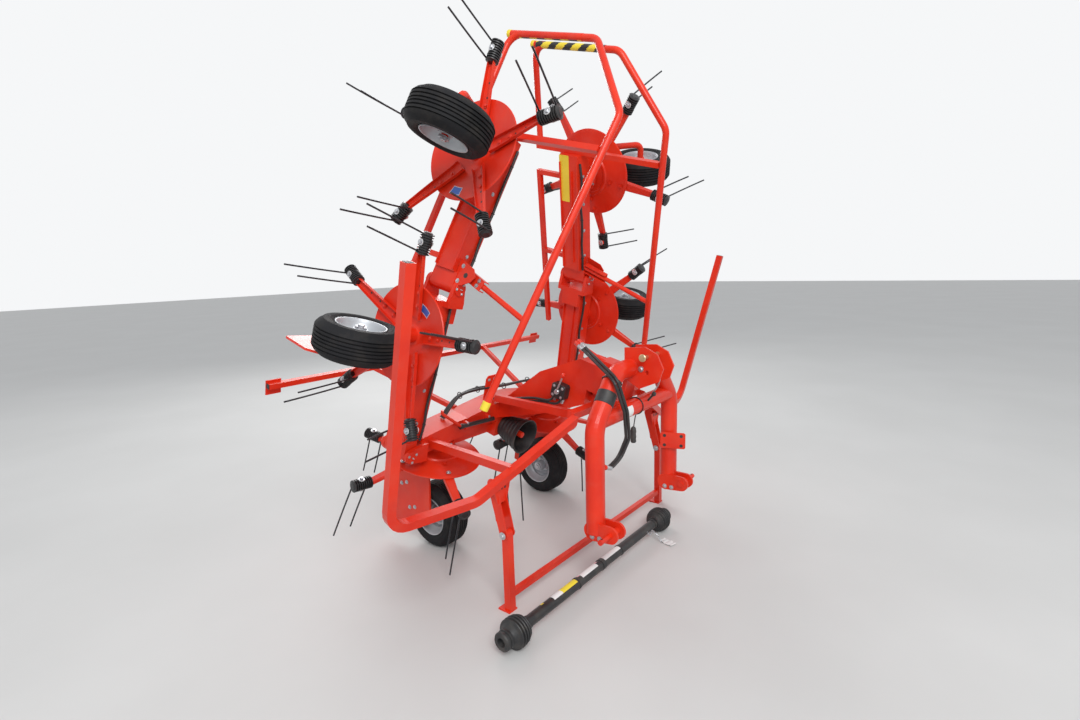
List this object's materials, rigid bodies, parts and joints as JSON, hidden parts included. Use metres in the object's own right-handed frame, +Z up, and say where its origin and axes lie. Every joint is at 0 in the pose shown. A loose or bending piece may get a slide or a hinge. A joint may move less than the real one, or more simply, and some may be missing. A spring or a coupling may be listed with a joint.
{
  "type": "hay tedder",
  "caption": "Linkage-mounted hay tedder, folded up for parking on its middle wheels and stand, with rotors that unfold into one row.",
  "frame": {"origin": "centre of the parked machine's box on the floor", "axes": "+X to the machine's left side, +Y to its rear, +Z up from the floor"},
  "size_m": [2.935, 1.9907, 3.0221],
  "materials": {
    "red_paint": "satin red paint",
    "black_plastic": "matt moulded plastic",
    "spring_steel": "dark oiled spring steel",
    "bare_steel": "machined steel",
    "rim_paint": "silver grey paint",
    "tyre_rubber": "matt rubber"
  },
  "bodies": {
    "frame": {"cross_beam": "red_paint", "mast": "red_paint", "front_bars": "red_paint", "loop_guard_r": "red_paint", "loop_guard_l": "red_paint", "rear_guard": "red_paint", "drive_box": "red_paint", "input_stub": "bare_steel", "drive_bell": "black_plastic", "stand_links": "red_paint", "wheel_leg_r1": "red_paint", "wheel_leg_l1": "red_paint"},
    "hitch": {"headstock": "red_paint", "hitch_pins": "bare_steel", "hoses": "black_plastic"},
    "prop": {"stand": "red_paint"},
    "shaft": {"shaft_tube": "black_plastic", "shaft_cones": "black_plastic"},
    "inner_r": {"inner_wing_r": "red_paint", "wheel_leg_r2": "red_paint"},
    "outer_r": {"outer_wing_r": "red_paint", "hoop_guard_r": "red_paint", "wheel_leg_r3": "red_paint"},
    "inner_l": {"inner_wing_l": "red_paint", "wheel_leg_l2": "red_paint"},
    "outer_l": {"outer_wing_l": "red_paint", "hoop_guard_l": "red_paint", "wheel_leg_l3": "red_paint"},
    "spinner_r1": {"rotor_r1": "red_paint", "tines_r1": "spring_steel"},
    "wheel_r1": {"tyre_r1": "tyre_rubber", "rim_r1": "rim_paint"},
    "spinner_r2": {"rotor_r2": "red_paint", "tines_r2": "spring_steel"},
    "wheel_r2": {"tyre_r2": "tyre_rubber", "rim_r2": "rim_paint"},
    "spinner_r3": {"rotor_r3": "red_paint", "tines_r3": "spring_steel"},
    "wheel_r3": {"tyre_r3": "tyre_rubber", "rim_r3": "rim_paint"},
    "spinner_l1": {"rotor_l1": "red_paint", "tines_l1": "spring_steel"},
    "wheel_l1": {"tyre_l1": "tyre_rubber", "rim_l1": "rim_paint"},
    "spinner_l2": {"rotor_l2": "red_paint", "tines_l2": "spring_steel"},
    "wheel_l2": {"tyre_l2": "tyre_rubber", "rim_l2": "rim_paint"},
    "spinner_l3": {"rotor_l3": "red_paint", "tines_l3": "spring_steel"},
    "wheel_l3": {"tyre_l3": "tyre_rubber", "rim_l3": "rim_paint"}
  },
  "joints": [
    {"name": "stand_fold", "type": "hinge", "parent": "frame", "child": "prop", "pos_m": [0, -0.5284, 0.415], "axis": [1, 0, 0], "range_deg": [0, 60]},
    {"name": "shaft_pull", "type": "slide", "parent": "frame", "child": "shaft", "axis": [0, -1, 0], "range_m": [0, 0.4]},
    {"name": "headstock_swivel", "type": "hinge", "parent": "frame", "child": "hitch", "pos_m": [0, -0.60536, 1.06257], "axis": [0, -0.2588, 0.9659], "range_deg": [-10, 10]},
    {"name": "fold_inner_r", "type": "hinge", "parent": "frame", "child": "inner_r", "pos_m": [-0.82, 0.26704, 0.7045], "axis": [0, -0.9659, -0.2588], "range_deg": [0, 98]},
    {"name": "fold_outer_r", "type": "hinge", "parent": "inner_r", "child": "outer_r", "pos_m": [-0.62291, 0.01938, 1.62877], "axis": [0, -0.9659, -0.2588], "range_deg": [0, 13]},
    {"name": "fold_inner_l", "type": "hinge", "parent": "frame", "child": "inner_l", "pos_m": [0.82, 0.26704, 0.7045], "axis": [0, 0.9659, 0.2588], "range_deg": [0, 98]},
    {"name": "fold_outer_l", "type": "hinge", "parent": "inner_l", "child": "outer_l", "pos_m": [0.62291, 0.01938, 1.62877], "axis": [0, 0.9659, 0.2588], "range_deg": [0, 13]},
    {"name": "spin_r1", "type": "hinge", "parent": "frame", "child": "spinner_r1", "pos_m": [-0.525, 0.30017, 0.58086], "axis": [0, -0.2588, 0.9659], "continuous": true},
    {"name": "spin_r2", "type": "hinge", "parent": "inner_r", "child": "spinner_r2", "pos_m": [-0.85212, 0.08815, 1.37214], "axis": [0.9903, 0.036, -0.1344], "continuous": true},
    {"name": "spin_r3", "type": "hinge", "parent": "outer_r", "child": "spinner_r3", "pos_m": [-0.5566, -0.16255, 2.30775], "axis": [0.9336, 0.0928, -0.3462], "continuous": true},
    {"name": "spin_l1", "type": "hinge", "parent": "frame", "child": "spinner_l1", "pos_m": [0.525, 0.30017, 0.58086], "axis": [0, -0.2588, 0.9659], "continuous": true},
    {"name": "spin_l2", "type": "hinge", "parent": "inner_l", "child": "spinner_l2", "pos_m": [0.85212, 0.08815, 1.37214], "axis": [-0.9903, 0.036, -0.1344], "continuous": true},
    {"name": "spin_l3", "type": "hinge", "parent": "outer_l", "child": "spinner_l3", "pos_m": [0.5566, -0.16255, 2.30775], "axis": [-0.9336, 0.0928, -0.3462], "continuous": true},
    {"name": "roll_r1", "type": "hinge", "parent": "frame", "child": "wheel_r1", "pos_m": [-0.525, 0.3041, 0.203], "axis": [1, 0, 0], "continuous": true},
    {"name": "roll_r2", "type": "hinge", "parent": "inner_r", "child": "wheel_r2", "pos_m": [-1.21456, -0.01583, 1.39701], "axis": [0.1392, -0.2563, 0.9565], "continuous": true},
    {"name": "roll_r3", "type": "hinge", "parent": "outer_r", "child": "wheel_r3", "pos_m": [-0.87543, -0.34432, 2.35248], "axis": [0.3584, -0.2416, 0.9018], "continuous": true},
    {"name": "roll_l1", "type": "hinge", "parent": "frame", "child": "wheel_l1", "pos_m": [0.525, 0.3041, 0.203], "axis": [1, 0, 0], "continuous": true},
    {"name": "roll_l2", "type": "hinge", "parent": "inner_l", "child": "wheel_l2", "pos_m": [1.21456, -0.01583, 1.39701], "axis": [-0.1392, -0.2563, 0.9565], "continuous": true},
    {"name": "roll_l3", "type": "hinge", "parent": "outer_l", "child": "wheel_l3", "pos_m": [0.87543, -0.34432, 2.35248], "axis": [-0.3584, -0.2416, 0.9018], "continuous": true}
  ],
  "couplings": [
    {"joint": "spin_r2", "follows": "spin_r1", "ratio": -1},
    {"joint": "spin_r3", "follows": "spin_r1", "ratio": 1},
    {"joint": "spin_l1", "follows": "spin_r1", "ratio": -1},
    {"joint": "spin_l2", "follows": "spin_r1", "ratio": 1},
    {"joint": "spin_l3", "follows": "spin_r1", "ratio": -1}
  ]
}
